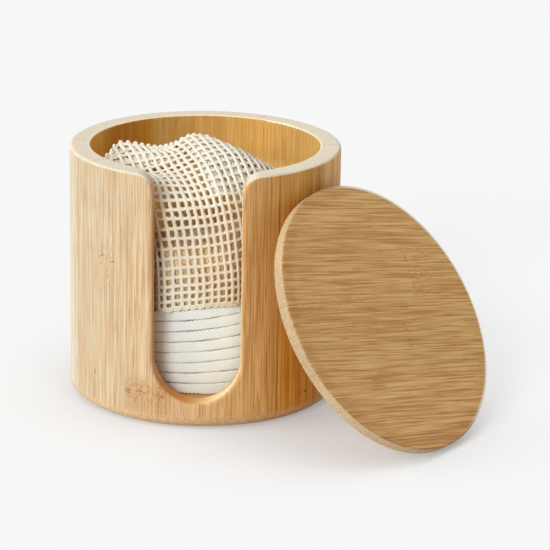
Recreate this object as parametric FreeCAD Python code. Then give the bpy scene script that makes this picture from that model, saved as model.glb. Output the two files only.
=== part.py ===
import FreeCAD, Part
import math
import os

# Bamboo holder for round cotton pads, with its loose lid leaning on it, a stack of pads and a
# folded net wash bag inside. Millimetres, +Z up. The origin is the centre of the holder's
# underside, and the slot opens towards -Y.

# Holder: a turned tube with a disc glued into its foot
holder_radius = 52.0
holder_height = 97.5
wall = 8.0
base_thickness = 9.2
glue_gap = 0.05
foot_round = 5.0
outer_edge_round = 1.2
inner_edge_round = 0.6

# Slot down the front, round at its foot and flared at the rim
slot_width = 33.0
sill_lip = 0.8
mouth_round = 6.5

# Lid: a board with a smaller disc glued under it, which drops into the bore
lid_overhang = 1.0
lid_board_thickness = 5.0
lid_edge_round = 0.8
plug_thickness = 3.0
plug_clearance = 0.5
plug_edge_round = 0.5

# Where the lid leans: which side, how steeply its board stands, and how far off the line
lid_bearing = -33.9
lid_steepness = 55.2
lid_sideways = -1.0
contact_gap = 0.3

# Pads: a loose stack that is thicker on its +X side
pad_count = 8
pad_pitch = 4.25
pad_gap = 0.3
pad_clearance = 4.0
pad_set_back = 0.6
pad_edge_round = 1.0
stack_lean = 0.14

# Net bag, folded and stood on the stack
bag_gap = 0.3
bag_clearance = 4.3
bag_flap_left = -16.5
bag_flap_depth = 14.0
bag_corner_round = 3.0
# Crest seen from the front: x, height above the rim
bag_crest = [
    (-39.3, -8.0),
    (-35.0, -0.9),
    (-25.0, 0.2),
    (-13.0, -2.0),
    (-2.5, 3.6),
    (5.0, 2.5),
    (14.0, -2.8),
    (25.0, -9.0),
]
# Crest seen from the side: y, height above the rim
bag_fold = [
    (-38.2, -10.5),
    (-33.0, -6.6),
    (-15.0, -0.6),
    (0.0, 3.6),
    (8.0, 2.0),
    (16.0, -4.5),
    (20.0, -14.0),
]

# Worked out from the sizes above
bore_radius = holder_radius - wall
slot_half = slot_width / 2.0
sill_height = base_thickness + sill_lip
lid_radius = holder_radius + lid_overhang
plug_radius = bore_radius - plug_clearance
pad_radius = bore_radius - pad_clearance
bag_radius = bore_radius - bag_clearance
stack_top = base_thickness + pad_count * pad_pitch
overrun = 5.0
tolerance = 0.01

UP = FreeCAD.Vector(0, 0, 1)


def vec(x, y, z):
    return FreeCAD.Vector(x, y, z)


def edges_where(shape, test):
    """The edges whose middle point passes the test."""
    found = []
    for edge in shape.Edges:
        middle = edge.valueAt((edge.FirstParameter + edge.LastParameter) / 2.0)
        if test(middle):
            found.append(edge)
    return found


def is_circle(edge, radius, z):
    """True for a full circle of this radius at this height."""
    curve = edge.Curve
    if not isinstance(curve, Part.Circle):
        return False
    return abs(curve.Radius - radius) < tolerance and abs(curve.Center.z - z) < tolerance


def round_circle(shape, radius, z, size):
    """Round the circular edge of this radius at this height."""
    return shape.makeFillet(size, [edge for edge in shape.Edges if is_circle(edge, radius, z)])


def slot_cutter():
    """A U standing on its round end, its top corners flared into the rim, through the front wall."""
    springing = sill_height + slot_half
    mouth_half = slot_half + mouth_round
    mouth_low = holder_height - mouth_round
    diagonal = mouth_round * math.sin(math.radians(45))
    top = holder_height + overrun

    def corner(side):
        """Quarter round that leads one side of the slot out onto the rim."""
        centre_x = side * mouth_half
        return Part.Arc(
            vec(side * slot_half, 0, mouth_low),
            vec(centre_x - side * diagonal, 0, mouth_low + diagonal),
            vec(centre_x, 0, holder_height),
        )

    round_end = Part.Arc(vec(-slot_half, 0, springing), vec(0, 0, sill_height), vec(slot_half, 0, springing))
    edges = [
        round_end.toShape(),
        Part.makeLine(vec(slot_half, 0, springing), vec(slot_half, 0, mouth_low)),
        corner(1).toShape(),
        Part.makeLine(vec(mouth_half, 0, holder_height), vec(mouth_half, 0, top)),
        Part.makeLine(vec(mouth_half, 0, top), vec(-mouth_half, 0, top)),
        Part.makeLine(vec(-mouth_half, 0, top), vec(-mouth_half, 0, holder_height)),
        corner(-1).toShape(),
        Part.makeLine(vec(-slot_half, 0, mouth_low), vec(-slot_half, 0, springing)),
    ]
    outline = Part.Wire(Part.__sortEdges__(edges))
    return Part.Face(outline).extrude(vec(0, -(holder_radius + overrun), 0))


def holder_tube():
    """Turned tube: rounded foot, open down the front, its rim and slot edges eased in one run."""
    tube = Part.makeCylinder(holder_radius, holder_height)
    tube = tube.cut(Part.makeCylinder(bore_radius, holder_height))
    tube = round_circle(tube, holder_radius, 0, foot_round)
    tube = tube.cut(slot_cutter())

    def rim_and_slot(radius):
        """Edges of the rim and slot that lie on the round face of this radius."""
        return edges_where(tube, lambda point: (
            abs(math.hypot(point.x, point.y) - radius) < tolerance
            and point.z > foot_round
            and math.hypot(point.x - radius, point.y) > tolerance
        ))

    tube = tube.makeFillet(outer_edge_round, rim_and_slot(holder_radius))
    return tube.makeFillet(inner_edge_round, rim_and_slot(bore_radius))


def base_disc():
    """Disc glued into the foot of the tube, flush with its underside."""
    return Part.makeCylinder(bore_radius - glue_gap, base_thickness)


def lid_board():
    """Round board, its top face at z = 0 and facing up."""
    board = Part.makeCylinder(lid_radius, lid_board_thickness, vec(0, 0, -lid_board_thickness))
    board = round_circle(board, lid_radius, 0, lid_edge_round)
    return round_circle(board, lid_radius, -lid_board_thickness, lid_edge_round)


def lid_plug():
    """Smaller disc under the board, which centres the lid in the bore."""
    underside = -lid_board_thickness - plug_thickness
    plug = Part.makeCylinder(plug_radius, plug_thickness, vec(0, 0, underside))
    return round_circle(plug, plug_radius, underside, plug_edge_round)


def lean_lid(pieces, holder):
    """Stand the lid on its edge beside the holder and lean it back until it meets the wall."""
    lean = math.radians(lid_steepness)
    bearing = math.radians(lid_bearing)
    out = vec(math.cos(bearing), math.sin(bearing), 0)
    across = vec(-math.sin(bearing), math.cos(bearing), 0)
    flat_radius = lid_radius - lid_edge_round
    flat_depth = lid_board_thickness - lid_edge_round
    centre_height = flat_radius * math.sin(lean) + flat_depth * math.cos(lean) + lid_edge_round
    start = out * (holder_radius + lid_radius) + across * lid_sideways + UP * centre_height
    placed = []
    for piece in pieces:
        piece.rotate(vec(0, 0, 0), vec(0, 1, 0), lid_steepness)
        piece.rotate(vec(0, 0, 0), UP, lid_bearing)
        piece.translate(start)
        placed.append(piece)
    while True:
        spare = min(piece.distToShape(holder)[0] for piece in placed) - contact_gap
        if spare < tolerance:
            return placed
        for piece in placed:
            piece.translate(out * -spare)


def lean_above(count):
    """Slope of the stack above this many pads; most of it comes from the lowest ones."""
    left = 1.0 - count / pad_count
    return stack_lean * (1.0 - left * left)


def pad(number):
    """One soft pad: a disc with a rounded edge, a little thicker on its +X side."""
    reach = pad_radius + overrun
    low_slope = lean_above(number - 1)
    high_slope = lean_above(number)
    low = base_thickness + (number - 1) * pad_pitch + pad_gap
    high = base_thickness + number * pad_pitch
    corners = [
        vec(-reach, -reach, low - low_slope * reach),
        vec(reach, -reach, low + low_slope * reach),
        vec(reach, -reach, high + high_slope * reach),
        vec(-reach, -reach, high - high_slope * reach),
    ]
    wedge = Part.Face(Part.makePolygon(corners + corners[:1])).extrude(vec(0, 2.0 * reach, 0))
    column = Part.makeCylinder(pad_radius, holder_height, vec(0, pad_set_back, 0))
    blank = wedge.common(column).Solids[0]
    rims = [edge for edge in blank.Edges if edge.Length > math.pi * pad_radius]
    return blank.makeFillet(pad_edge_round, rims)


def crest(points, along_x):
    """Smooth line over the top of the bag through points given as place and height above the rim."""
    if along_x:
        through = [vec(place, 0, holder_height + rise) for place, rise in points]
    else:
        through = [vec(0, place, holder_height + rise) for place, rise in points]
    curve = Part.BSplineCurve()
    curve.interpolate(through)
    return curve.toShape(), through[0], through[-1]


def bag_front_outline():
    """The bag seen from the front, standing on the sloping top of the stack."""
    top, left_end, right_end = crest(bag_crest, True)
    slope = lean_above(pad_count)
    foot = stack_top + bag_gap
    left_foot = vec(left_end.x, 0, foot + slope * left_end.x)
    right_foot = vec(right_end.x, 0, foot + slope * right_end.x)
    sides = [
        Part.makeLine(left_end, left_foot),
        Part.makeLine(left_foot, right_foot),
        Part.makeLine(right_foot, right_end),
    ]
    return Part.Wire(Part.__sortEdges__([top] + sides))


def bag_side_outline():
    """The bag seen from the side: upright front, fold, and a crest that falls away at the back."""
    top, front_end, back_end = crest(bag_fold, False)
    front = -(bag_radius + overrun)
    shoulder = vec(0, front, front_end.z - (front_end.y - front))
    front_foot = vec(0, front, base_thickness)
    back_foot = vec(0, back_end.y, base_thickness)
    sides = [
        Part.makeLine(shoulder, front_end),
        Part.makeLine(shoulder, front_foot),
        Part.makeLine(front_foot, back_foot),
        Part.makeLine(back_foot, back_end),
    ]
    return Part.Wire(Part.__sortEdges__([top] + sides))


def laundry_bag():
    """Outer shape of the folded net bag: a flap at the front, two humps behind it."""
    reach = bore_radius + overrun
    across = Part.Face(bag_side_outline()).extrude(vec(2.0 * reach, 0, 0))
    across.translate(vec(-reach, 0, 0))
    through = Part.Face(bag_front_outline()).extrude(vec(0, 2.0 * reach, 0))
    through.translate(vec(0, -reach, 0))
    round_plan = Part.makeCylinder(bag_radius, holder_height + 2.0 * overrun)
    beside_flap = Part.makeBox(
        reach + bag_flap_left, reach - bag_radius + bag_flap_depth, holder_height + 2.0 * overrun,
        vec(-reach, -reach, 0),
    )
    bundle = round_plan.common(through).common(across).cut(beside_flap)
    upright = [edge for edge in bundle.Edges if edge.BoundBox.ZLength > 0.999 * edge.Length]
    return bundle.makeFillet(bag_corner_round, upright)


def main():
    os.makedirs("parts", exist_ok=True)
    tube = holder_tube()
    board, plug = lean_lid([lid_board(), lid_plug()], tube)
    nodes = {
        "holder_tube": tube,
        "base_disc": base_disc(),
        "lid_board": board,
        "lid_plug": plug,
        "laundry_bag": laundry_bag(),
    }
    for number in range(1, pad_count + 1):
        nodes["pad_%02d" % number] = pad(number)
    for name, shape in nodes.items():
        shape.exportStep("parts/%s.step" % name)
        print(name, shape.isValid(), len(shape.Solids), round(shape.Volume, 1))


main()
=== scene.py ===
"""Looks of the bamboo cotton pad holder: its bamboo, eight pads and a folded net bag.

Lengths inside the modelling functions are millimetres, and a mesh becomes metres when it is made.
The frame is the CAD's: origin under the middle of the holder, +Z up, the slot towards -Y.
"""
import math
import random

import bpy
import numpy as np
from mathutils import Matrix, Vector


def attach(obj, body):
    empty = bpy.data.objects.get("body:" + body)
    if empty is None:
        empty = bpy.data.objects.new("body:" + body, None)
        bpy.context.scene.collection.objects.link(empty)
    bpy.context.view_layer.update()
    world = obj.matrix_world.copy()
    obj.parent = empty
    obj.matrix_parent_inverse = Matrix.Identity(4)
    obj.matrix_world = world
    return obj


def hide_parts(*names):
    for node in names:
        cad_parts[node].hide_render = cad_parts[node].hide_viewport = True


MM = 0.001

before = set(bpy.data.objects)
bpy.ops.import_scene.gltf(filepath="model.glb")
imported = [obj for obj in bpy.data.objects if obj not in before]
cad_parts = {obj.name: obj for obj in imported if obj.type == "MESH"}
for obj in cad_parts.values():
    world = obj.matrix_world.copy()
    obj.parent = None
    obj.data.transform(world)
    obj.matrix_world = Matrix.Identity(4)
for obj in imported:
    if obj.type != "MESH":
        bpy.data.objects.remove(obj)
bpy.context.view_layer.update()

# Sizes shared with the solids, in mm
HOLDER_RADIUS = 52.0
HOLDER_HEIGHT = 97.5
BORE_RADIUS = 44.0
SLOT_HALF = 16.5
FOOT_ROUND = 5.0
BASE_TOP = 9.2
PAD_COUNT = 8
PAD_PITCH = 4.25
PAD_GAP = 0.3
PAD_RADIUS = 40.0
PAD_SET_BACK = 0.6
STACK_LEAN = 0.14
LID_FACE_CENTRE = (71.1, -49.0, 46.06)

# Which way the lid leans, and how steeply its board stands
LID_BEARING = math.radians(-33.9)
LID_STEEPNESS = math.radians(55.2)


# ---------------------------------------------------------------- node trees

def srgb(red, green, blue):
    """Linear colour of an sRGB colour given from 0 to 255."""
    def linear(value):
        value /= 255.0
        return value / 12.92 if value <= 0.04045 else ((value + 0.055) / 1.055) ** 2.4
    return (linear(red), linear(green), linear(blue))


class Nodes:
    """Builds the node tree of a material or the world. A value is a number, a colour or a socket."""

    def __init__(self, owner):
        owner.use_nodes = True
        self.owner = owner
        self.tree = owner.node_tree
        self.tree.nodes.clear()

    def put(self, socket, value):
        if isinstance(value, bpy.types.NodeSocket):
            self.tree.links.new(value, socket)
        elif isinstance(value, (tuple, list)) and len(value) == 3 and socket.type == "RGBA":
            socket.default_value = (*value, 1.0)
        else:
            socket.default_value = value

    def add(self, kind, settings=None, **values):
        node = self.tree.nodes.new("ShaderNode" + kind)
        for key, value in (settings or {}).items():
            setattr(node, key, value)
        for key, value in values.items():
            self.put(node.inputs[key.replace("_", " ")], value)
        return node

    def fill(self, node, values):
        """Puts values into a node's first sockets."""
        for socket, value in zip(node.inputs, values):
            self.put(socket, value)
        return node.outputs

    def math(self, operation, a, b=0.0, c=0.0):
        return self.fill(self.add("Math", {"operation": operation}), (a, b, c))[0]

    def times(self, a, b):
        return self.math("MULTIPLY", a, b)

    def apart(self, value, centre):
        """How far a value is from a centre, on either side."""
        return self.math("ABSOLUTE", self.math("SUBTRACT", value, centre))

    def step(self, value, low, high, to_low=0.0, to_high=1.0):
        """Goes smoothly from to_low to to_high as value goes from low to high."""
        node = self.add("MapRange", {"interpolation_type": "SMOOTHSTEP"})
        return self.fill(node, (value, low, high, to_low, to_high))[0]

    def fall(self, value, low, high):
        """Goes smoothly from 1 to 0 as value goes from low to high."""
        return self.step(value, low, high, 1.0, 0.0)

    def band(self, value, start, full, fading, end):
        """1 from full to fading, and 0 outside start and end."""
        return self.times(self.step(value, start, full), self.fall(value, fading, end))

    def mix(self, amount, a, b, blend="MIX"):
        node = self.add("Mix", {"data_type": "RGBA", "blend_type": blend})
        self.put(node.inputs[0], amount)
        self.put(node.inputs[6], a)
        self.put(node.inputs[7], b)
        return node.outputs[2]

    def tint(self, amount, colour, by):
        """A colour multiplied by another one, as far as the amount says."""
        return self.mix(amount, colour, by, "MULTIPLY")

    def vector(self, x, y, z=0.0):
        return self.fill(self.add("CombineXYZ"), (x, y, z))[0]

    def split(self, vector):
        return self.add("SeparateXYZ", Vector=vector).outputs

    def vector_math(self, operation, a, b=(0.0, 0.0, 0.0)):
        return self.fill(self.add("VectorMath", {"operation": operation}), (a, b))

    def place(self):
        """The object's own coordinates in mm."""
        metres = self.add("TexCoord").outputs["Object"]
        return self.add("VectorMath", {"operation": "SCALE"}, Vector=metres, Scale=1.0 / MM).outputs[0]

    def normal(self):
        """Which way the surface faces, in the object's own axes."""
        return self.add("TexCoord").outputs["Normal"]

    def noise(self, vector, scale, detail=2.0, roughness=0.5, distortion=0.0):
        return self.add(
            "TexNoise",
            Vector=vector, Scale=scale, Detail=detail, Roughness=roughness, Distortion=distortion,
        ).outputs["Fac"]

    def random(self, number):
        """A fixed random value for each whole number."""
        return self.add("TexWhiteNoise", {"noise_dimensions": "1D"}, W=number).outputs["Value"]

    def dots(self, vector, scale, size):
        """1 inside small scattered dots."""
        cells = self.add("TexVoronoi", {"feature": "F1"}, Vector=vector, Scale=scale, Randomness=1.0)
        return self.fall(cells.outputs["Distance"], size * 0.5, size)

    def finish(self, colour, roughness, height, height_mm, specular, **principled):
        """Ends the tree in one Principled shader. height_mm is how deep a height of 1 is."""
        shader = self.add("BsdfPrincipled")
        self.put(shader.inputs["Base Color"], colour)
        self.put(shader.inputs["Roughness"], roughness)
        shader.inputs["Specular IOR Level"].default_value = specular
        for key, value in principled.items():
            shader.inputs[key.replace("_", " ")].default_value = value
        bump = self.add("Bump", Height=height)
        bump.inputs["Strength"].default_value = 1.0
        bump.inputs["Distance"].default_value = height_mm * MM
        self.put(shader.inputs["Normal"], bump.outputs[0])
        self.add("OutputMaterial", Surface=shader.outputs[0])
        return self.owner

    def lit_and_seen(self, lighting, seen):
        """One shader for the light it sends out, another where the camera, a gloss or glass shows it."""
        paths = self.add("LightPath").outputs
        shown = self.math("MAXIMUM", paths["Is Camera Ray"], paths["Is Glossy Ray"])
        shown = self.math("MAXIMUM", shown, paths["Is Transmission Ray"])
        return self.fill(self.add("MixShader"), (shown, lighting.outputs[0], seen.outputs[0]))[0]


def new_material(name):
    return Nodes(bpy.data.materials.new(name))


# ---------------------------------------------------------------- camera, light and floor

def place_camera():
    """The photograph's viewpoint, fitted to the holder's rims, its foot and the lid.

    Angles are in radians, and lengths are in metres where no name says pixels.
    """
    azimuth = 0.03061
    elevation = 0.30305
    roll = 0.01669
    distance = 1.09038
    aim_right = 0.02742
    aim_height = 0.04506
    focal_pixels = 2805.577
    frame_pixels = 550.0
    forward = Vector((
        -math.sin(azimuth) * math.cos(elevation),
        math.cos(azimuth) * math.cos(elevation),
        -math.sin(elevation),
    ))
    level = Vector((math.cos(azimuth), math.sin(azimuth), 0.0))
    upright = level.cross(forward)
    right = level * math.cos(roll) + upright * math.sin(roll)
    up = upright * math.cos(roll) - level * math.sin(roll)
    target = level * aim_right + Vector((0.0, 0.0, aim_height))
    data = bpy.data.cameras.new("camera")
    data.sensor_width = 36.0
    data.lens = focal_pixels * data.sensor_width / frame_pixels
    data.clip_start = 0.05
    data.clip_end = 20.0
    camera = bpy.data.objects.new("camera", data)
    bpy.context.scene.collection.objects.link(camera)
    axes = Matrix((right, up, -forward)).transposed().to_4x4()
    camera.matrix_world = Matrix.Translation(target - forward * distance) @ axes
    bpy.context.scene.camera = camera


def sun(name, direction, strength, spread):
    """A distant, slightly warm lamp that shines along a direction. spread is in degrees."""
    data = bpy.data.lights.new(name, "SUN")
    data.energy = strength
    data.angle = math.radians(spread)
    data.color = (1.0, 0.99, 0.97)
    lamp = bpy.data.objects.new(name, data)
    lamp.rotation_mode = "QUATERNION"
    lamp.rotation_quaternion = Vector(direction).to_track_quat("-Z", "Y")
    bpy.context.scene.collection.objects.link(lamp)


def light_scene():
    """A broad lamp from the left, a narrower one from the front, and a pale room."""
    sun("key", (0.82, 0.22, -0.53), strength=1.4, spread=40.0)
    sun("front", (0.40, 0.81, -0.43), strength=1.5, spread=26.0)
    world = bpy.data.worlds.new("room")
    bpy.context.scene.world = world
    nodes = Nodes(world)
    room = nodes.add("Background", Color=(1.0, 0.995, 0.985), Strength=0.43)
    backdrop = nodes.add("Background", Color=(0.935, 0.937, 0.937), Strength=1.0)
    nodes.add("OutputWorld", Surface=nodes.lit_and_seen(room, backdrop))


def paint_floor():
    """White card. Seen by the camera it glows a little, so that it is pale and its shadows are light;
    the glow is dimmed near the object as a painted contact shadow, and raised beside the lid as painted
    light.
    """
    nodes = new_material("floor_card")
    card = nodes.add("BsdfDiffuse", Color=(0.85, 0.85, 0.85))
    seen_card = nodes.add("BsdfDiffuse", Color=(0.42, 0.42, 0.42))
    open_sky = nodes.add("AmbientOcclusion", {"samples": 8}, Distance=70.0 * MM).outputs["AO"]
    x, y, _ = nodes.split(nodes.place())

    def painted_light_pool(centre_x, centre_y, reach_x, reach_y):
        """Painted light on the card beside the lid, as an oval that fades outwards, lightening the
        lamps' shadow there.
        """
        off_x = nodes.math("DIVIDE", nodes.math("SUBTRACT", x, centre_x), reach_x)
        off_y = nodes.math("DIVIDE", nodes.math("SUBTRACT", y, centre_y), reach_y)
        square = nodes.math("MULTIPLY_ADD", off_x, off_x, nodes.times(off_y, off_y))
        return nodes.step(nodes.math("SQRT", square), 0.0, 1.0, 0.055, 0.0)

    # Painted shade: the glow dims where the card's open sky is blocked near the object, a painted
    # contact shadow
    strength = nodes.step(open_sky, 0.25, 0.95, 0.30, 0.57)
    # Painted light beside the lid, lightening the shadow the lamps cast there
    strength = nodes.math("ADD", strength, painted_light_pool(130.0, 22.0, 52.0, 74.0))
    strength = nodes.math("ADD", strength, painted_light_pool(137.0, 60.0, 80.0, 210.0))
    glow = nodes.add("Emission", Color=(0.99, 1.0, 1.01), Strength=strength)
    glowing_card = nodes.add("AddShader")
    nodes.fill(glowing_card, (seen_card.outputs[0], glow.outputs[0]))
    nodes.add("OutputMaterial", Surface=nodes.lit_and_seen(card, glowing_card))
    return nodes.owner


def lay_floor():
    """A pale floor that keeps the object's shadow."""
    half = 4000.0 * MM
    corners = [(-half, -half, 0), (half, -half, 0), (half, half, 0), (-half, half, 0)]
    mesh = bpy.data.meshes.new("floor")
    mesh.from_pydata(corners, [], [(0, 1, 2, 3)])
    floor = bpy.data.objects.new("floor", mesh)
    bpy.context.scene.collection.objects.link(floor)
    mesh.materials.append(paint_floor())


# ---------------------------------------------------------------- bamboo

def joint_marks(nodes, along, across, joints):
    """Where the culm's joints cross the strips: their swirled zone and their row of pores, 0 to 1.

    A joint is its place along the strips, how far its swirls reach before and after that, the two
    places across between which it lies, all in mm, and how strong the swirls are.
    """
    soft = 0.9
    zones = 0.0
    rows = 0.0
    for centre, before, after, low, high, strength in joints:
        inside = nodes.band(across, low - soft, low + soft, high - soft, high + soft)
        swirled = nodes.band(
            along, centre - before, centre - before * 0.4, centre + after * 0.4, centre + after
        )
        zones = nodes.math("MAXIMUM", zones, nodes.times(nodes.times(inside, swirled), strength))
        row = nodes.times(nodes.fall(nodes.apart(along, centre), 0.9, 1.5), inside)
        rows = nodes.math("MAXIMUM", rows, row)
    return zones, rows


def grain(
    nodes, along, across, light, dark, strip_width, seed,
    joints=(), swirl=1.6, fibre=0.54, patchy=0.42,
):
    """Long bamboo fibres in glued strips, as a colour and a height. along and across are in mm.

    swirl and fibre are the sizes, in mm, of a joint's swirls along the strip and of the finest
    fibres across it. patchy is how much the streaks of middling width count in the colour.
    """
    farthest_slide = 300.0
    wander_reach = 0.7
    swirl_reach = 3.2
    strip = nodes.math("FLOOR", nodes.math("DIVIDE", across, strip_width))
    shade = nodes.random(nodes.math("ADD", strip, seed))
    slide = nodes.math("MULTIPLY_ADD", shade, farthest_slide, along)

    def patches(u, u_size, v, v_size, layer=0.0, detail=2.0, roughness=0.6, distortion=0.0):
        """Noise whose patches have these sizes in mm."""
        place = nodes.vector(nodes.math("DIVIDE", u, u_size), nodes.math("DIVIDE", v, v_size), layer)
        return nodes.noise(place, 1.0, detail, roughness, distortion)

    zones, rows = joint_marks(nodes, along, across, joints)
    wander = patches(slide, 38.0, across, 8.0, detail=1.0, roughness=0.5)
    eddy = nodes.math("SUBTRACT", patches(across, 1.8, along, 3.0), 0.5)
    bent = nodes.math("MULTIPLY_ADD", wander, wander_reach, across)
    bent = nodes.math("MULTIPLY_ADD", eddy, nodes.times(zones, swirl_reach), bent)

    def streaks(width, length, detail=1.0):
        return patches(bent, width, slide, length, seed, detail)

    broad = streaks(5.0, 90.0, 2.0)
    middle = streaks(1.1, 60.0)
    fine = streaks(fibre, 34.0)
    body = nodes.math("MULTIPLY_ADD", broad, 0.77 - patchy, nodes.times(middle, patchy))
    body = nodes.math("MULTIPLY_ADD", fine, 1.2, body)
    colour = nodes.mix(nodes.step(body, 0.735, 1.235), dark, light)
    tone = nodes.math("MULTIPLY_ADD", shade, 0.08, 0.96)
    colour = nodes.tint(1.0, colour, nodes.vector(tone, tone, tone))
    lines = nodes.step(streaks(0.40, 15.0), 0.57, 0.68)
    colour = nodes.mix(nodes.times(lines, 0.6), colour, nodes.tint(1.0, dark, (0.80, 0.66, 0.50)))
    mottle = nodes.step(patches(bent, 0.7, along, swirl, distortion=0.4), 0.50, 0.68)
    mottle = nodes.times(nodes.times(mottle, zones), 0.75)
    colour = nodes.mix(mottle, colour, nodes.tint(1.0, dark, (0.88, 0.66, 0.42)))
    pores = nodes.times(nodes.dots(nodes.vector(across, along), 0.72, 0.31), rows)
    colour = nodes.mix(nodes.times(pores, 0.85), colour, srgb(96, 54, 22))
    height = nodes.math("MULTIPLY_ADD", fine, 0.6, nodes.times(lines, -0.4))
    height = nodes.math("SUBTRACT", height, nodes.times(pores, 1.2))
    return colour, height


def end_grain(nodes, place, light, dark, peppered=0.45):
    """Cut ends of the fibres: pale, peppered with tiny darker dots. Returns a colour and its speckle."""
    speckle = nodes.noise(place, 1.3, 2.0, 0.7)
    points = nodes.dots(place, 1.0, 0.40)
    colour = nodes.mix(nodes.step(speckle, 0.3, 0.7, 0.35, 1.0), dark, light)
    colour = nodes.mix(nodes.times(points, peppered), colour, nodes.tint(1.0, dark, (0.86, 0.76, 0.62)))
    return colour, speckle


def paint_tube():
    """Side grain outside, amber bore, cream end grain on the rim and on the rounded foot.

    angle runs round the holder from 0 at the slot, in radians, and grows towards +X. across is the
    same in mm on the outside.
    """
    nodes = new_material("bamboo_tube")
    place = nodes.place()
    x, y, z = nodes.split(place)
    _, facing_y, facing_z = nodes.split(nodes.normal())
    angle = nodes.math("ARCTAN2", x, nodes.times(y, -1.0))
    across = nodes.times(angle, HOLDER_RADIUS)
    radius = nodes.math("SQRT", nodes.math("ADD", nodes.times(x, x), nodes.times(y, y)))

    # The outside is painted as light and shade: pale on the left, which the lamp lights, and deep
    # yellow-brown on the right, which is in shade, and half of that at the back. The left flank is paler
    # still, a painted rim light
    back = nodes.step(nodes.math("ABSOLUTE", angle), 2.2, 2.9)
    honey_painted_shade = nodes.times(nodes.step(angle, -0.9, 0.8), nodes.math("MULTIPLY_ADD", back, -0.5, 1.0))
    honey_painted_shade = nodes.math("MAXIMUM", honey_painted_shade, nodes.step(angle, -3.14, -2.0, 0.5, 0.0))
    painted_rim_light = nodes.band(angle, -2.7, -1.5, -1.35, -1.0)
    # A painted reflection: warm amber light from the lid on the right, strongest low down and fading
    # towards the rim
    amber = nodes.band(across, 26.0, 38.0, 52.0, 62.0)
    amber = nodes.times(amber, nodes.step(z, 82.0, 94.0, 0.84, 0.20))
    right_side = nodes.band(across, 52.0, 62.0, 90.0, 96.0)
    light = srgb(213, 198, 170)
    dark = srgb(194, 162, 121)
    for amount, to_light, to_dark in (
        (honey_painted_shade, srgb(218, 170, 103), srgb(189, 130, 62)),
        (painted_rim_light, srgb(228, 218, 199), srgb(210, 190, 161)),
        (amber, srgb(220, 158, 56), srgb(186, 112, 10)),
        (right_side, srgb(246, 198, 134), srgb(226, 170, 100)),
    ):
        light = nodes.mix(amount, light, to_light)
        dark = nodes.mix(amount, dark, to_dark)
    joints = (
        (62.5, 15.0, 8.5, -42.0, -33.5, 0.65),
        (12.5, 6.5, 7.0, -28.5, -11.0, 1.0),
        (10.0, 2.0, 2.5, 42.0, 47.5, 0.5),
        (15.8, 0.8, 0.8, -45.6, -44.0, 0.3),
        (52.0, 8.0, 8.0, 92.0, 108.0, 0.6),
        (78.0, 8.0, 8.0, -112.0, -97.0, 0.6),
        (24.0, 8.0, 8.0, 140.0, 158.0, 0.6),
    )
    colour, height = grain(nodes, z, across, light, dark, strip_width=27.0, seed=3.0, joints=joints)
    # Darker and warmer low at the front, to the left of the slot
    darker_low_front_left = nodes.times(nodes.band(across, -31.0, -25.0, -12.0, -7.0), nodes.fall(z, 12.0, 24.0))
    colour = nodes.tint(darker_low_front_left, colour, (0.88, 0.80, 0.70))
    seam = 0.0
    for seam_across in (-58.0, 32.2, 63.5, 118.0, -140.0, -96.0):
        seam = nodes.math("MAXIMUM", seam, nodes.fall(nodes.apart(across, seam_across), 0.15, 0.42))
    colour = nodes.mix(nodes.times(seam, 0.62), colour, srgb(140, 88, 38))
    height = nodes.math("SUBTRACT", height, nodes.times(seam, 0.5))

    # The slot's sawn sides, painted as light and shade: pale on the +X side, which the lamp from the
    # left lights, and a darker amber on the -X side, which is in shade
    sawn = nodes.math("LESS_THAN", nodes.math("ABSOLUTE", x), SLOT_HALF + 0.6)
    sawn = nodes.times(nodes.fall(y, -46.0, -44.0), sawn)
    sawn = nodes.times(sawn, nodes.fall(nodes.math("ABSOLUTE", facing_y), 0.35, 0.75))
    sawn_painted_light_and_shade = nodes.mix(nodes.step(x, -6.0, 10.0), srgb(212, 148, 68), srgb(250, 220, 174))
    colour = nodes.mix(sawn, colour, sawn_painted_light_and_shade)

    # The bore: its upper part is tinted in stretches, one of them a darker strip, and from its left
    # round to the front it is painted brighter, as painted light where it lies in shade; its lower part
    # has colours of its own
    bore_across = nodes.times(across, 0.85)

    def bore_grain(light, dark):
        return grain(nodes, z, bore_across, light, dark, strip_width=19.0, seed=11.0)

    bore_colour, bore_height = bore_grain(srgb(223, 178, 102), srgb(207, 156, 79))
    for *stretch, by in (
        (-2.14, -1.90, 0.0, 0.2, (1.30, 1.16, 0.90)),
        (-2.60, -2.56, -2.14, -1.94, (0.86, 0.64, 0.28)),
        (1.1, 1.9, 2.3, 2.7, (0.87, 0.91, 1.00)),
        (1.2, 1.5, 1.75, 2.05, (1.10, 1.18, 1.40)),
    ):
        bore_colour = nodes.tint(nodes.band(angle, *stretch), bore_colour, by)
    # Below the bag the bore is painted lighter, as painted light where the bag shades it, with a deeper
    # amber at the front left, whose bounce warms the shade on the pads, and paler at the front right
    left_front = nodes.band(angle, -1.4, -1.0, 0.0, 0.2)
    right_front = nodes.band(angle, 0.0, 0.2, 1.2, 1.7)
    low_light = nodes.mix(left_front, srgb(255, 216, 138), srgb(226, 136, 42))
    low_light = nodes.mix(right_front, low_light, srgb(250, 226, 178))
    low_colour_painted_lighter, _ = bore_grain(low_light, nodes.tint(1.0, low_light, (0.84, 0.78, 0.68)))
    bore_colour = nodes.mix(nodes.fall(z, 76.0, 84.0), bore_colour, low_colour_painted_lighter)
    bore = nodes.fall(radius, BORE_RADIUS + 0.5, BORE_RADIUS + 1.2)
    colour = nodes.mix(bore, colour, bore_colour)
    height = nodes.math("ADD", height, nodes.times(bore_height, bore))
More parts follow.
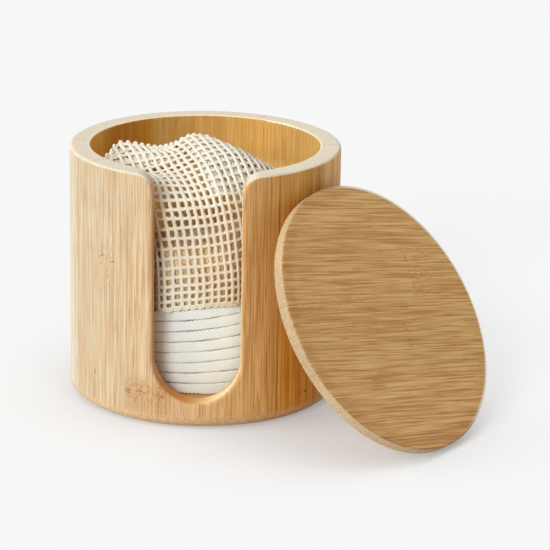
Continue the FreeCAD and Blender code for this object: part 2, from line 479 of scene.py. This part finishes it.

    # End grain on the rim, with a painted highlight along its inner edge and marks where the strips
    # meet, and on the foot, which carries the side's painted shade too
    ends, speckle = end_grain(nodes, place, srgb(243, 234, 215), srgb(230, 214, 184))
    inner_edge_highlight = nodes.fall(radius, BORE_RADIUS + 0.4, BORE_RADIUS + 1.6)
    ends = nodes.mix(inner_edge_highlight, ends, srgb(252, 240, 214))
    wall_middle = 48.0
    for glue_line in (-1.60, -0.93, 1.63, 2.70, -2.55):
        off = nodes.times(nodes.apart(angle, glue_line), wall_middle)
        ends = nodes.mix(nodes.step(off, 0.10, 0.40, 0.6, 0.0), ends, srgb(206, 180, 138))
    level = nodes.step(nodes.math("ABSOLUTE", facing_z), 0.35, 0.85)
    rim = nodes.times(level, nodes.step(z, HOLDER_HEIGHT - 9.0, HOLDER_HEIGHT - 5.0))
    colour = nodes.mix(rim, colour, ends)
    foot_ends, _ = end_grain(nodes, place, srgb(226, 200, 162), srgb(194, 152, 108), peppered=0.8)
    foot_ends = nodes.tint(honey_painted_shade, foot_ends, (0.86, 0.74, 0.58))
    colour = nodes.mix(nodes.step(z, FOOT_ROUND - 1.6, FOOT_ROUND + 0.8, 0.8, 0.0), colour, foot_ends)
    roughness = nodes.step(speckle, 0.2, 0.8, 0.52, 0.62)
    return nodes.finish(colour, roughness, height, height_mm=0.09, specular=0.2)


def paint_base():
    """Laid strips seen across the floor of the well and under the foot."""
    nodes = new_material("bamboo_disc")
    x, y, _ = nodes.split(nodes.place())
    colour, height = grain(
        nodes, x, y, srgb(220, 172, 108), srgb(194, 138, 76), strip_width=21.0, seed=29.0
    )
    return nodes.finish(colour, roughness=0.58, height=height, height_mm=0.08, specular=0.2)


def paint_lid(name):
    """Grain running across the lid's face, pale end grain round its edge."""
    nodes = new_material(name)
    place = nodes.place()
    out = Vector((math.cos(LID_BEARING), math.sin(LID_BEARING), 0.0))
    sideways = Vector((-math.sin(LID_BEARING), math.cos(LID_BEARING), 0.0))
    face = out * math.sin(LID_STEEPNESS) + Vector((0, 0, math.cos(LID_STEEPNESS)))
    slope = face.cross(sideways)
    turn = math.radians(-14.0)
    along_axis = sideways * math.cos(turn) + slope * math.sin(turn)
    across_axis = slope * math.cos(turn) - sideways * math.sin(turn)
    far_axis = Vector((0.51, 0.857, 0.08))

    def project(vector, axis):
        return nodes.vector_math("DOT_PRODUCT", vector, axis)["Value"]

    centred = nodes.vector_math("SUBTRACT", place, LID_FACE_CENTRE)["Vector"]
    joints = (
        (20.7, 2.5, 19.0, 8.0, 28.5, 0.5),
        (8.2, 2.0, 5.0, -12.0, -2.0, 0.35),
        (-70.0, 110.0, 110.0, -7.0, 9.0, 0.22),
        (90.0, 80.0, 80.0, -36.0, -17.0, 0.3),
    )
    colour, height = grain(
        nodes, project(centred, along_axis), project(centred, across_axis),
        srgb(235, 191, 125), srgb(193, 140, 74), strip_width=23.0, seed=47.0, joints=joints,
        swirl=3.2, fibre=0.62, patchy=0.30,
    )

    # The edge: end grain on its side, darker where it turns into a face
    ends, _ = end_grain(nodes, place, srgb(211, 188, 152), srgb(188, 149, 103), peppered=0.6)
    _, _, z = nodes.split(place)
    ends = nodes.tint(nodes.band(z, 28.0, 40.0, 64.0, 76.0), ends, (0.83, 0.83, 0.83))
    flat = nodes.math("ABSOLUTE", project(nodes.normal(), face))
    colour = nodes.tint(nodes.band(flat, 0.15, 0.40, 0.90, 0.99), colour, (0.70, 0.70, 0.74))
    colour = nodes.mix(nodes.fall(flat, 0.15, 0.40), colour, ends)

    # The face darkens towards its near edge, and its far edge has a painted highlight: a pale line where
    # its rounding catches the light
    far_side = nodes.step(project(centred, far_axis), 4.0, 26.0)
    reach = nodes.vector_math("LENGTH", centred)["Value"]
    near_edge = nodes.math("SUBTRACT", nodes.step(reach, 46.0, 50.0), far_side)
    near_edge = nodes.times(nodes.math("MAXIMUM", near_edge, 0.0), nodes.step(flat, 0.9, 0.99))
    colour = nodes.tint(near_edge, colour, (0.93, 0.87, 0.83))
    painted_edge_light_and_shade = nodes.times(nodes.times(nodes.step(reach, 51.5, 52.1), far_side), nodes.step(flat, 0.5, 0.8))
    colour = nodes.mix(painted_edge_light_and_shade, colour, srgb(255, 246, 226))
    return nodes.finish(colour, roughness=0.55, height=height, height_mm=0.09, specular=0.3)


def paint_bamboo():
    skins = {
        "holder_tube": paint_tube(),
        "base_disc": paint_base(),
        "lid_board": paint_lid("bamboo_lid_board"),
        "lid_plug": paint_lid("bamboo_lid_plug"),
    }
    for node, skin in skins.items():
        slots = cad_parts[node].data.materials
        slots.clear()
        slots.append(skin)


# ---------------------------------------------------------------- meshes

def make_piece(name, points, faces, skin, body, attributes=None):
    """A smooth mesh from points in mm, riding on a body."""
    mesh = bpy.data.meshes.new(name)
    mesh.from_pydata((np.asarray(points) * MM).tolist(), [], faces)
    mesh.polygons.foreach_set("use_smooth", [True] * len(mesh.polygons))
    for key, values in (attributes or {}).items():
        layer = mesh.attributes.new(key, "FLOAT", "POINT")
        layer.data.foreach_set("value", np.asarray(values, np.float32))
    mesh.materials.append(skin)
    mesh.update()
    piece = bpy.data.objects.new(name, mesh)
    bpy.context.scene.collection.objects.link(piece)
    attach(piece, body)
    return piece


def unit(vectors):
    """Vectors at length 1; more than one come as rows, or in a grid."""
    return vectors / np.linalg.norm(vectors, axis=-1, keepdims=True)


def spline(knots, values, places):
    """Natural cubic spline through values at the knots; values may have more axes."""
    knots = np.asarray(knots, float)
    values = np.asarray(values, float)
    count = len(knots)
    gaps = np.diff(knots)
    system = np.eye(count)
    right = np.zeros_like(values)
    shape = (-1,) + (1,) * (values.ndim - 1)
    slopes = np.diff(values, axis=0) / gaps.reshape(shape)
    for i in range(1, count - 1):
        system[i, i - 1:i + 2] = gaps[i - 1], 2 * (gaps[i - 1] + gaps[i]), gaps[i]
        right[i] = 6 * (slopes[i] - slopes[i - 1])
    bends = np.linalg.solve(system, right.reshape(count, -1)).reshape(values.shape)
    places = np.asarray(places, float)
    at = np.clip(np.searchsorted(knots, places) - 1, 0, count - 2)
    gap = gaps[at].reshape(shape)
    before = (places - knots[at]).reshape(shape)
    after = (knots[at + 1] - places).reshape(shape)
    return (
        (bends[at] * after ** 3 + bends[at + 1] * before ** 3) / (6 * gap)
        + (values[at] / gap - bends[at] * gap / 6) * after
        + (values[at + 1] / gap - bends[at + 1] * gap / 6) * before
    )


class Yarns:
    """Collects closed tubes into one mesh."""

    PRESSED = 0.34

    def __init__(self):
        self.points = []
        self.faces = []
        self.count = 0

    def tube(self, path, radius, sides=8, ply=0.12, twist=1.9, start=0.0, closed=False, facing=None):
        """A plied yarn along path. radius is one number or one per point; twist is mm per turn.

        facing gives the cloth's normal at each point, along which the yarn is pressed flatter.
        """
        path = np.asarray(path, float)
        count = len(path)
        radius = np.broadcast_to(np.asarray(radius, float), (count,))
        if closed:
            tangent = unit(np.roll(path, -1, axis=0) - np.roll(path, 1, axis=0))
        else:
            tangent = unit(np.gradient(path, axis=0))
        steps = np.linalg.norm(np.diff(path, axis=0), axis=1)
        travelled = np.concatenate([[0.0], np.cumsum(steps)])
        side = np.zeros_like(path)
        side[0] = unit(np.cross(tangent[0], (0.31, 0.87, 0.38)))
        for i in range(1, count):
            side[i] = unit(side[i - 1] - tangent[i] * (side[i - 1] @ tangent[i]))
        other = np.cross(tangent, side)
        turn = np.arange(sides) / sides * 2 * np.pi
        phase = travelled[:, None] / twist * 2 * np.pi + start
        reach = radius[:, None] * (1 + ply * np.cos(2 * (turn[None, :] - phase)))
        offset = (
            (reach * np.cos(turn)[None, :])[..., None] * side[:, None, :]
            + (reach * np.sin(turn)[None, :])[..., None] * other[:, None, :]
        )
        if facing is not None:
            proud = np.sum(offset * facing[:, None, :], axis=2, keepdims=True)
            offset = offset - self.PRESSED * proud * facing[:, None, :]
        self.points.append((path[:, None, :] + offset).reshape(-1, 3))
        corner = np.arange(sides)
        ring = np.arange(count if closed else count - 1)[:, None] * sides
        low = ring + corner
        low_next = ring + np.roll(corner, -1)
        total = count * sides
        quads = np.stack([low, low_next, (low_next + sides) % total, (low + sides) % total], axis=-1)
        self.faces += (quads.reshape(-1, 4) + self.count).tolist()
        if not closed:
            self.faces.append((corner[::-1] + self.count).tolist())
            self.faces.append((corner + self.count + total - sides).tolist())
        self.count += total


# ---------------------------------------------------------------- net bag

# The knit: wales run up the cloth and courses of yarn along its rows
WALE_RADIUS = 0.77
COURSE_RADIUS = 0.73
HEM_RADIUS = 0.44
PICOT_RADIUS = 0.52
PICOT_SIZE = 0.42
ROWS = 22
FIRST_WALE = -2
LAST_WALE = 20

# The outer layer: for each of these wales, points up it at these rows, in mm
SHEET_ROWS = (0, 4, 8, 12.5, 14.5, 16.5, 18.5, 20.5, 22)
SHEET = {
    -2: [
        (-16.6, -31.5, 42.4), (-17.0, -31.5, 54.6), (-19.0, -31.0, 69.5), (-24.5, -28.5, 82.5),
        (-29.0, -24.0, 85.5), (-33.0, -19.5, 87.2), (-36.0, -15.5, 89.2), (-37.6, -12.0, 91.3),
        (-37.7, -11.0, 93.2),
    ],
    -0.8: [
        (-15.8, -35.3, 42.6), (-16.0, -35.3, 54.9), (-18.0, -35.0, 70.0), (-22.0, -32.5, 84.8),
        (-25.5, -27.0, 87.6), (-29.0, -21.5, 88.6), (-32.0, -16.4, 89.4), (-34.5, -11.3, 92.5),
        (-35.1, -8.2, 95.2),
    ],
    0.5: [
        (-13.9, -38.2, 42.6), (-14.1, -38.2, 54.9), (-15.6, -38.2, 70.3), (-18.6, -37.6, 86.4),
        (-20.2, -30.8, 89.5), (-22.9, -23.6, 90.0), (-26.7, -16.6, 89.7), (-29.5, -9.7, 93.1),
        (-33.4, -4.7, 97.0),
    ],
    2.5: [
        (-7.7, -39.0, 43.7), (-7.9, -39.0, 55.8), (-9.7, -39.0, 70.9), (-13.0, -38.4, 86.7),
        (-15.0, -31.4, 90.0), (-17.6, -24.1, 90.4), (-21.1, -16.9, 90.5), (-24.0, -9.8, 94.1),
        (-27.5, -4.5, 97.3),
    ],
    4.5: [
        (-1.9, -39.4, 44.5), (-2.1, -39.4, 56.5), (-3.9, -39.4, 71.5), (-7.2, -38.8, 87.2),
        (-9.8, -31.7, 90.4), (-12.5, -24.3, 91.2), (-15.6, -17.1, 91.9), (-18.6, -9.9, 95.3),
        (-22.3, -4.5, 96.5),
    ],
    6.5: [
        (3.8, -39.6, 45.4), (3.5, -39.6, 57.2), (1.7, -39.6, 72.1), (-1.7, -39.0, 87.7),
        (-4.5, -31.9, 90.7), (-7.4, -24.4, 92.5), (-10.6, -17.1, 94.0), (-13.5, -9.9, 95.6),
        (-17.2, -4.5, 95.7),
    ],
    8.5: [
        (9.2, -39.4, 46.0), (8.9, -39.4, 58.0), (6.9, -39.4, 72.9), (3.2, -38.8, 88.6),
        (0.4, -31.7, 92.3), (-2.3, -24.3, 94.9), (-5.5, -17.1, 96.2), (-8.6, -9.9, 97.3),
        (-12.1, -4.5, 97.2),
    ],
    10.5: [
        (14.0, -38.6, 46.4), (13.7, -38.6, 58.7), (11.8, -38.6, 73.9), (8.3, -38.0, 90.0),
        (5.5, -31.1, 94.1), (2.5, -23.9, 96.8), (-0.5, -16.8, 98.7), (-3.9, -9.7, 100.3),
        (-6.5, -4.5, 101.0),
    ],
    12.5: [
        (18.4, -35.2, 47.0), (18.2, -35.4, 59.2), (16.7, -36.0, 74.5), (13.1, -35.8, 90.0),
        (10.3, -29.4, 94.7), (7.6, -22.6, 98.2), (4.6, -16.0, 100.0), (1.5, -9.4, 101.2),
        (-0.4, -4.5, 101.3),
    ],
    14.5: [
        (22.5, -32.5, 47.2), (22.3, -32.6, 59.5), (21.2, -33.2, 75.0), (18.0, -32.8, 91.0),
        (15.3, -27.2, 95.6), (12.7, -21.0, 98.8), (9.5, -15.0, 100.1), (7.2, -8.5, 100.1),
        (6.0, -4.0, 98.8),
    ],
    16.5: [
        (25.8, -27.5, 47.6), (25.8, -28.0, 60.0), (25.2, -28.8, 75.5), (22.8, -28.6, 90.6),
        (20.1, -24.0, 95.5), (17.5, -18.7, 97.4), (15.6, -12.5, 97.6), (14.2, -7.0, 96.0),
        (13.2, -3.5, 93.6),
    ],
    20: [
        (27.0, -17.5, 47.8), (27.5, -18.5, 60.0), (28.5, -19.5, 74.0), (28.8, -19.5, 87.5),
        (27.6, -16.8, 91.5), (26.0, -11.5, 91.4), (24.5, -6.5, 89.4), (23.2, -2.5, 86.0),
        (22.4, 0.5, 82.5),
    ],
}

# The layer folded over the back of the crest, at these shares of its length
BACK_ROWS = 6
BACK_SHARES = (0.0, 0.27, 0.62, 1.0)
BACK = {
    -2: [(-37.7, -11.0, 93.2), (-38.8, -4.5, 90.8), (-38.0, 1.5, 86.5), (-36.8, 4.5, 80.0)],
    4.5: [(-22.3, -4.5, 96.5), (-22.8, 0.8, 95.0), (-23.2, 6.2, 90.5), (-23.0, 9.0, 83.5)],
    8.5: [(-12.1, -4.5, 97.2), (-12.4, 1.0, 95.8), (-12.8, 6.8, 91.5), (-12.6, 10.0, 84.5)],
    12.5: [(-0.4, -4.5, 101.3), (-0.5, 1.2, 99.8), (-0.5, 7.5, 95.5), (-0.3, 11.0, 88.5)],
    16.5: [(13.2, -3.5, 93.6), (13.2, 1.5, 91.0), (13.0, 7.0, 86.5), (12.8, 10.5, 80.5)],
    20: [(22.4, 0.5, 82.5), (22.8, 4.0, 79.5), (22.6, 7.5, 75.0), (22.0, 10.0, 69.5)],
}

# The layer behind the flap, which turns back over itself and lies down on the pads
FOLD_ROWS = 21
FOLD_SHARES = (0.0, 0.15, 0.31, 0.39, 0.53, 0.67, 0.83, 0.94, 1.0)
FOLD = {
    -1: [
        (-13.6, -37.0, 44.7), (-13.7, -37.1, 55.7), (-15.0, -36.0, 66.2), (-16.5, -31.4, 69.8),
        (-19.0, -22.0, 64.0), (-22.0, -12.0, 57.5), (-24.0, 0.0, 51.5), (-25.0, 9.0, 45.5),
        (-25.0, 11.5, 41.5),
    ],
    5: [
        (0.6, -38.1, 46.3), (0.4, -38.0, 57.1), (-1.0, -36.4, 67.8), (-1.5, -31.4, 71.6),
        (-1.5, -21.5, 66.5), (-1.5, -11.0, 60.0), (-1.0, 1.0, 54.5), (-1.0, 10.0, 48.5),
        (-1.0, 12.5, 45.0),
    ],
    11: [
        (14.8, -36.2, 47.0), (14.6, -36.0, 58.0), (13.5, -34.2, 71.0), (13.0, -29.5, 74.5),
        (13.5, -20.0, 68.5), (14.5, -10.0, 62.0), (15.0, 2.0, 56.5), (15.0, 10.5, 50.5),
        (15.0, 12.8, 47.5),
    ],
    17: [
        (25.2, -24.5, 48.6), (25.2, -24.5, 59.0), (25.0, -23.0, 70.0), (25.0, -19.0, 73.5),
        (25.5, -12.0, 68.5), (26.0, -4.0, 62.5), (26.0, 5.0, 57.0), (25.0, 11.0, 52.0),
        (24.5, 13.0, 49.0),
    ],
}

# The loops along the crest: at which wale, and how many mm they stand out
PICOTS = (
    (-1.7, 0.8), (-0.9, 0.8), (-0.15, 0.8), (1.1, 0.8), (2.0, 0.8), (2.95, 0.8), (3.95, 0.9),
    (5.0, 1.1), (5.95, 1.3), (6.9, 1.4), (7.7, 1.4), (8.4, 1.1), (9.0, 0.6), (9.75, 0.35),
    (10.6, 0.3), (11.3, 0.3), (12.1, 0.3), (12.9, 0.35), (13.8, 0.4),
)


class Patch:
    """A smooth sheet through columns of control points, sampled finely and read at any wale and row."""

    FINE = 8

    def __init__(self, columns, rows, last_row, wales):
        places = sorted(columns)
        self.low = wales[0]
        self.wide = int((wales[1] - wales[0]) * self.FINE) + 1
        self.tall = int(last_row * self.FINE) + 1
        along = np.linspace(0, last_row, self.tall)
        across = np.linspace(wales[0], wales[1], self.wide)
        share = along / last_row * rows[-1]
        up = np.stack([spline(rows, columns[place], share) for place in places])
        self.grid = spline(places, up, across)
        self.inward = unit(np.cross(np.gradient(self.grid, axis=1), np.gradient(self.grid, axis=0)))

    def read(self, grid, wale, row):
        """A grid's value at each wale and row, beyond its edges the value at the edge."""
        wale, row = np.broadcast_arrays(wale, row)
        a = np.clip((wale - self.low) * self.FINE, 0, self.wide - 1.001)
        b = np.clip(row * self.FINE, 0, self.tall - 1.001)
        i, j = a.astype(int), b.astype(int)
        u, v = (a - i)[..., None], (b - j)[..., None]
        return (
            grid[i, j] * (1 - u) * (1 - v) + grid[i + 1, j] * u * (1 - v)
            + grid[i, j + 1] * (1 - u) * v + grid[i + 1, j + 1] * u * v
        )


def wobble(dice, count, size):
    """Slow random drift, so that no two yarns run quite alike."""
    knots = np.linspace(0, 1, max(4, count // 14))
    return spline(knots, [dice.uniform(-size, size) for _ in knots], np.linspace(0, 1, count))


def stretched(wale, row):
    """Yarn a little plumper low on the -X side, and pulled thinner low on the +X side."""
    low = np.clip((14.0 - row) / 5.0, 0.0, 1.0)
    return 1.0 + low * (0.03 - 0.18 * np.clip((wale - 2.0) / 7.0, 0.0, 1.0))


def knit(yarns, patch, wales, rows, dice, depth=0.0, shift=(0.0, 0.0), hem=True, picots=(), thick=1.0):
    """Wales and rows of yarn over a patch, sunk to a depth in mm below it.

    shift moves them by a part of a wale and a row. A hem runs along the lowest row, and picots are
    loops that stand out of the last row: where along it, and by how many mm.
    """
    first, last = wales
    bottom, top = rows
    per_row = 6
    per_wale = 5
    per_wale_in_hem = 8

    def read(grid, wale, row):
        return patch.read(grid, np.asarray(wale, float) + shift[0], np.asarray(row, float) + shift[1])

    def place(wale, row, lift=0.0):
        return read(patch.grid, wale, row) + read(patch.inward, wale, row) * (depth - lift)

    def normal(wale, row):
        return unit(read(patch.inward, wale, row))

    for wale in range(first, last + 1):
        row = np.linspace(bottom, top, (top - bottom) * per_row + 1)
        drift = wobble(dice, len(row), 0.07)
        swell = 0.5 + 0.5 * np.cos(2 * np.pi * row)
        beads = np.cos(2 * np.pi * 3 * row)
        radius = WALE_RADIUS * thick * (0.93 + 0.16 * swell ** 3 + 0.06 * beads) * stretched(wale, row)
        line = wale + drift + 0.035 * np.sin(2 * np.pi * 1.5 * row + wale)
        yarns.tube(place(line, row, 0.1), radius, start=dice.uniform(0, 6), facing=normal(line, row))
    for row_number in range(bottom, top + 1):
        wale = np.linspace(first, last, (last - first) * per_wale + 1)
        drift = wobble(dice, len(wale), 0.06)
        from_wale = np.abs(wale - np.round(wale))
        sag = 0.05 * np.cos(2 * np.pi * wale)
        row = np.clip(row_number + drift + sag, bottom, top)
        radius = COURSE_RADIUS * thick * (0.92 + 0.26 * np.exp(-((from_wale / 0.2) ** 2)))
        radius = radius * stretched(wale, row)
        start = dice.uniform(0, 6)
        yarns.tube(place(wale, row), radius, start=start, twist=1.6, facing=normal(wale, row))
    if hem:
        wale = np.linspace(first, last, (last - first) * per_wale_in_hem + 1)
        drop = 0.35 + 0.72 * np.abs(np.sin(np.pi * wale))
        points = place(wale, bottom)
        below = unit(place(wale, bottom + 0.5) - points)
        yarns.tube(points - below * drop[:, None], HEM_RADIUS, twist=1.3)
    for wale, proud in picots:
        centre = place([wale], [top])[0]
        up = unit(centre - place([wale], [top - 0.5])[0])
        up = unit(up + (0.0, 0.0, 0.9))
        before, after = max(wale - 0.3, first), min(wale + 0.3, last)
        side = unit(place([after], [top])[0] - place([before], [top])[0])
        size = PICOT_SIZE * dice.uniform(0.9, 1.1)
        turn = np.arange(10) / 10 * 2 * np.pi
        loop = np.outer(np.cos(turn) * size, side) + np.outer(np.sin(turn) * size, up)
        yarns.tube(centre + up * proud + loop, PICOT_RADIUS, sides=7, ply=0.05, closed=True)


def paint_net(name, light, dark, fibres, painted_warm_shade=(1.0, 0.975, 0.90)):
    """Undyed cotton yarn: creamy, slightly uneven, with fine plied fibres, and with light and shade
    painted on in places.
    """
    nodes = new_material(name)
    place = nodes.place()
    x, _, z = nodes.split(place)
    tone = nodes.noise(place, 0.35, 2.0)
    fibre = nodes.noise(place, 5.5, 3.0, 0.7)
    colour = nodes.mix(nodes.step(tone, 0.3, 0.7), dark, light)
    colour = nodes.mix(nodes.step(fibre, 0.35, 0.6, 0.30, 0.0), colour, fibres)

    # Painted light and shade: a touch darker on the crest, to tone down its light, warmer below it as
    # painted warm shade, a brown painted shadow at the left where the slot's side shades it, paler low
    # on the left as painted light, and browner low on the right as painted shade
    crest = nodes.step(z, 84.0, 92.0)
    middle = nodes.times(nodes.fall(z, 62.0, 92.0), nodes.step(z, 46.0, 66.0, 0.5, 1.0))
    past_edge = nodes.math("SUBTRACT", x, nodes.step(z, 60.0, 72.0, -16.6, -12.6))
    slot_edge_painted_shadow = nodes.times(nodes.fall(past_edge, -1.6, 1.2), nodes.fall(z, 82.0, 88.0))
    low_left_painted_light = nodes.times(nodes.fall(z, 54.0, 66.0), nodes.fall(x, -4.0, 6.0))
    low_right_painted_shade = nodes.times(nodes.fall(z, 46.0, 76.0), nodes.step(x, -8.0, 14.0))
    for amount, by in (
        (crest, (0.97, 0.97, 0.95)),
        (middle, painted_warm_shade),
        (slot_edge_painted_shadow, (0.68, 0.54, 0.42)),
        (low_left_painted_light, (1.02, 1.05, 1.08)),
        (low_right_painted_shade, (0.89, 0.82, 0.72)),
    ):
        colour = nodes.tint(amount, colour, by)
    return nodes.finish(
        colour, roughness=0.92, height=fibre, height_mm=0.14, specular=0.12,
        Sheen_Weight=0.22, Sheen_Roughness=0.5,
    )


def make_bag():
    """The flap and top, second layers behind both, a fold lying back on the pads, and the far side."""
    yarn = paint_net("cotton_yarn", srgb(250, 246, 236), srgb(244, 237, 220), srgb(226, 208, 176))
    # All the same cotton: the lining is painted paler, as painted light where it lies in the outer
    # layer's shade, and the inner layers warmer, as painted warm shade
    lining_yarn_painted_paler = paint_net(
        "cotton_yarn_lining_painted_light", srgb(255, 252, 240), srgb(252, 246, 228), srgb(240, 224, 190)
    )
    inner_yarn_painted_warm_shade = paint_net(
        "cotton_yarn_inner_painted_shade", srgb(253, 232, 192), srgb(246, 214, 164), srgb(218, 176, 122),
        painted_warm_shade=(1.0, 0.94, 0.84),
    )
    dice = random.Random(7)
    wales = (FIRST_WALE, LAST_WALE)
    left_wales = (FIRST_WALE, 6)
    right_wales = (9, LAST_WALE - 1)
    sheet = Patch(SHEET, SHEET_ROWS, ROWS, wales)
    fold = Patch(FOLD, FOLD_SHARES, FOLD_ROWS, (-1, 17))
    behind = Patch(BACK, BACK_SHARES, BACK_ROWS, wales)

    for name, skin, rests, layers in (
        ("net_bag_outer", yarn, "pad_08", [
            (sheet, wales, (0, ROWS), dict(picots=PICOTS)),
        ]),
        ("net_bag_lining", lining_yarn_painted_paler, "net_bag_outer", [
            (sheet, left_wales, (20, 22), dict(depth=1.3, shift=(0.45, -0.35), hem=False, thick=1.25)),
            (sheet, right_wales, (12, 21), dict(depth=1.3, shift=(0.45, 0.45), hem=False, thick=1.2)),
            (sheet, right_wales, (12, 21), dict(depth=2.5, shift=(0.72, 0.18), hem=False, thick=1.2)),
        ]),
        ("net_bag_roll", inner_yarn_painted_warm_shade, "pad_08", [
            (fold, (-1, 16), (0, FOLD_ROWS), dict(shift=(0.45, 0.0), thick=1.12)),
            (fold, (-1, 15), (0, 8), dict(depth=0.5, shift=(0.95, 0.5), hem=False, thick=1.25)),
        ]),
        ("net_bag_back", yarn, "net_bag_outer", [
            (behind, wales, (0, BACK_ROWS), dict(hem=False)),
        ]),
    ):
        yarns = Yarns()
        for patch, (first, last), (bottom, top), settings in layers:
            knit(yarns, patch, (first, last), (bottom, top), dice, **settings)
        piece = make_piece(name, np.concatenate(yarns.points), yarns.faces, skin, "bag")
    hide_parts("laundry_bag")


# ---------------------------------------------------------------- pads

def lean_above(count):
    """Slope of the stack above this many pads."""
    left = 1.0 - count / PAD_COUNT
    return STACK_LEAN * (1.0 - left * left)


def paint_pad():
    """Brushed cotton: soft white, faintly napped, its stitched edge darker in places with painted shade,
    and painted light and shade across the front.
    """
    nodes = new_material("cotton_pad")
    place = nodes.place()
    x, y, _ = nodes.split(place)
    seam = nodes.add("Attribute", {"attribute_name": "seam"}).outputs["Fac"]
    nap = nodes.noise(place, 2.6, 3.0, 0.65)
    tone = nodes.noise(place, 0.12, 2.0)
    colour = nodes.mix(nodes.step(tone, 0.3, 0.7), srgb(233, 239, 235), srgb(238, 243, 240))
    # Painted light and shade at the front: paler towards +X, to offset the shade there, and warmer
    # towards -X, a painted shade where the slot's side shades the pads
    front = nodes.fall(y, -34.0, -30.0)
    colour = nodes.mix(nodes.times(nodes.step(x, 4.0, 15.0), front), colour, srgb(248, 254, 247))
    colour = nodes.mix(nodes.times(nodes.fall(x, -16.5, -11.0), front), colour, srgb(236, 224, 204))
    # The stitched edge is darker in broken stretches: partly the stitching's own colour and partly
    # painted shade in the crease between pads
    broken = nodes.step(nodes.noise(place, 0.11, 2.0, 0.6), 0.40, 0.60, 0.25, 1.0)
    painted_edge_light_and_shade = nodes.times(nodes.step(seam, 0.30, 0.85), broken)
    colour = nodes.mix(nodes.times(painted_edge_light_and_shade, 0.56), colour, srgb(126, 110, 66))
    return nodes.finish(
        colour, roughness=0.95, height=nap, height_mm=0.12, specular=0.08,
        Sheen_Weight=0.3, Sheen_Roughness=0.6,
    )


# From a pad's mid-height over its edge to the middle of its face: how far in from the edge in mm, height
# as a share of half the thickness, how much of the stitches' zigzag, and how dark the seam is painted,
# for the stitching and the shade in the crease between pads
PAD_PROFILE = (
    (0.00, 0.00, 0.0, 0.0),
    (0.02, 0.40, 0.15, 0.0),
    (0.06, 0.70, 0.7, 0.0),
    (0.13, 0.88, 1.0, 0.2),
    (0.28, 0.955, 1.0, 0.9),
    (0.60, 0.985, 1.0, 1.0),
    (1.30, 1.00, 0.6, 0.8),
    (2.40, 0.97, 0.4, 0.2),
    (3.20, 0.93, 0.0, 0.0),
    (6.00, 1.00, 0.0, 0.0),
    (14.0, 0.97, 0.0, 0.0),
    (26.0, 1.00, 0.0, 0.0),
)


def make_pad(number, skin):
    """A soft round pad: bulging side, zigzag stitched rims, gently quilted faces."""
    stitches = 160
    around = 4 * stitches
    stitch_height = 0.24
    low_slope = lean_above(number - 1)
    high_slope = lean_above(number)
    low = BASE_TOP + (number - 1) * PAD_PITCH + PAD_GAP
    high = BASE_TOP + number * PAD_PITCH
    dice = np.random.RandomState(100 + number)
    turn = np.arange(around) / around * 2 * np.pi

    def phase():
        return dice.uniform(0, 6.28)

    def waves(counts):
        """Waves of random height and phase, one with each of these counts round the rim."""
        return [dice.uniform(-1, 1) * np.cos(count * turn + phase()) for count in counts]

    slow = (2, 3, 5, 7, 11)
    uneven = sum(wave / count for wave, count in zip(waves(slow), slow))
    edge = PAD_RADIUS - 0.25 + 0.16 * uneven
    zigzag = np.sin(np.arange(around) * np.pi / 2 + 0.4) * (0.75 + 0.25 * np.cos(9 * turn + number))
    ripple = sum(waves((9, 14, 23, 31))) * 0.035
    closing = sum(waves((13, 21, 29, 47))) * 0.45
    closing = closing + 1.2 + 0.8 * np.cos(3 * turn + phase()) * np.cos(5 * turn + number)
    rings = [(-1, row) for row in reversed(PAD_PROFILE[1:])] + [(1, row) for row in PAD_PROFILE]
    points = []
    seams = []
    for side, (inset, height, zig, seam) in rings:
        radius = edge - inset
        x = radius * np.sin(turn)
        y = -radius * np.cos(turn) + PAD_SET_BACK
        bottom = low + low_slope * x
        top = high + high_slope * x
        z = (bottom + top) / 2 + side * (height * (top - bottom) / 2 + 0.1 * closing)
        z = z + zig * stitch_height * zigzag + ripple * min(1.0, inset * 4)
        points.append(np.stack([x, y, z], axis=1))
        seams.append(np.full(around, seam))
    here = np.arange(around)
    there = (here + 1) % around
    faces = []
    for base in range(0, (len(rings) - 1) * around, around):
        above = base + around
        faces += np.stack([base + here, base + there, above + there, above + here], axis=1).tolist()
    centre_low = len(rings) * around
    centre_high = centre_low + 1
    centres = [[0, PAD_SET_BACK, low + 0.03], [0, PAD_SET_BACK, high - 0.03]]
    points = np.vstack(points + [centres])
    seams = np.concatenate(seams + [np.zeros(2)])
    last = (len(rings) - 1) * around
    for a, b in zip(here.tolist(), there.tolist()):
        faces.append([b, a, centre_low])
        faces.append([last + a, last + b, centre_high])
    name = "pad_%02d" % number
    piece = make_piece("cotton_" + name, points, faces, skin, name, {"seam": seams})
    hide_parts(name)


# ---------------------------------------------------------------- the scene

bpy.context.scene.view_settings.view_transform = "Standard"
place_camera()
light_scene()
lay_floor()
paint_bamboo()
pad_skin = paint_pad()
for pad_number in range(1, PAD_COUNT + 1):
    make_pad(pad_number, pad_skin)
make_bag()
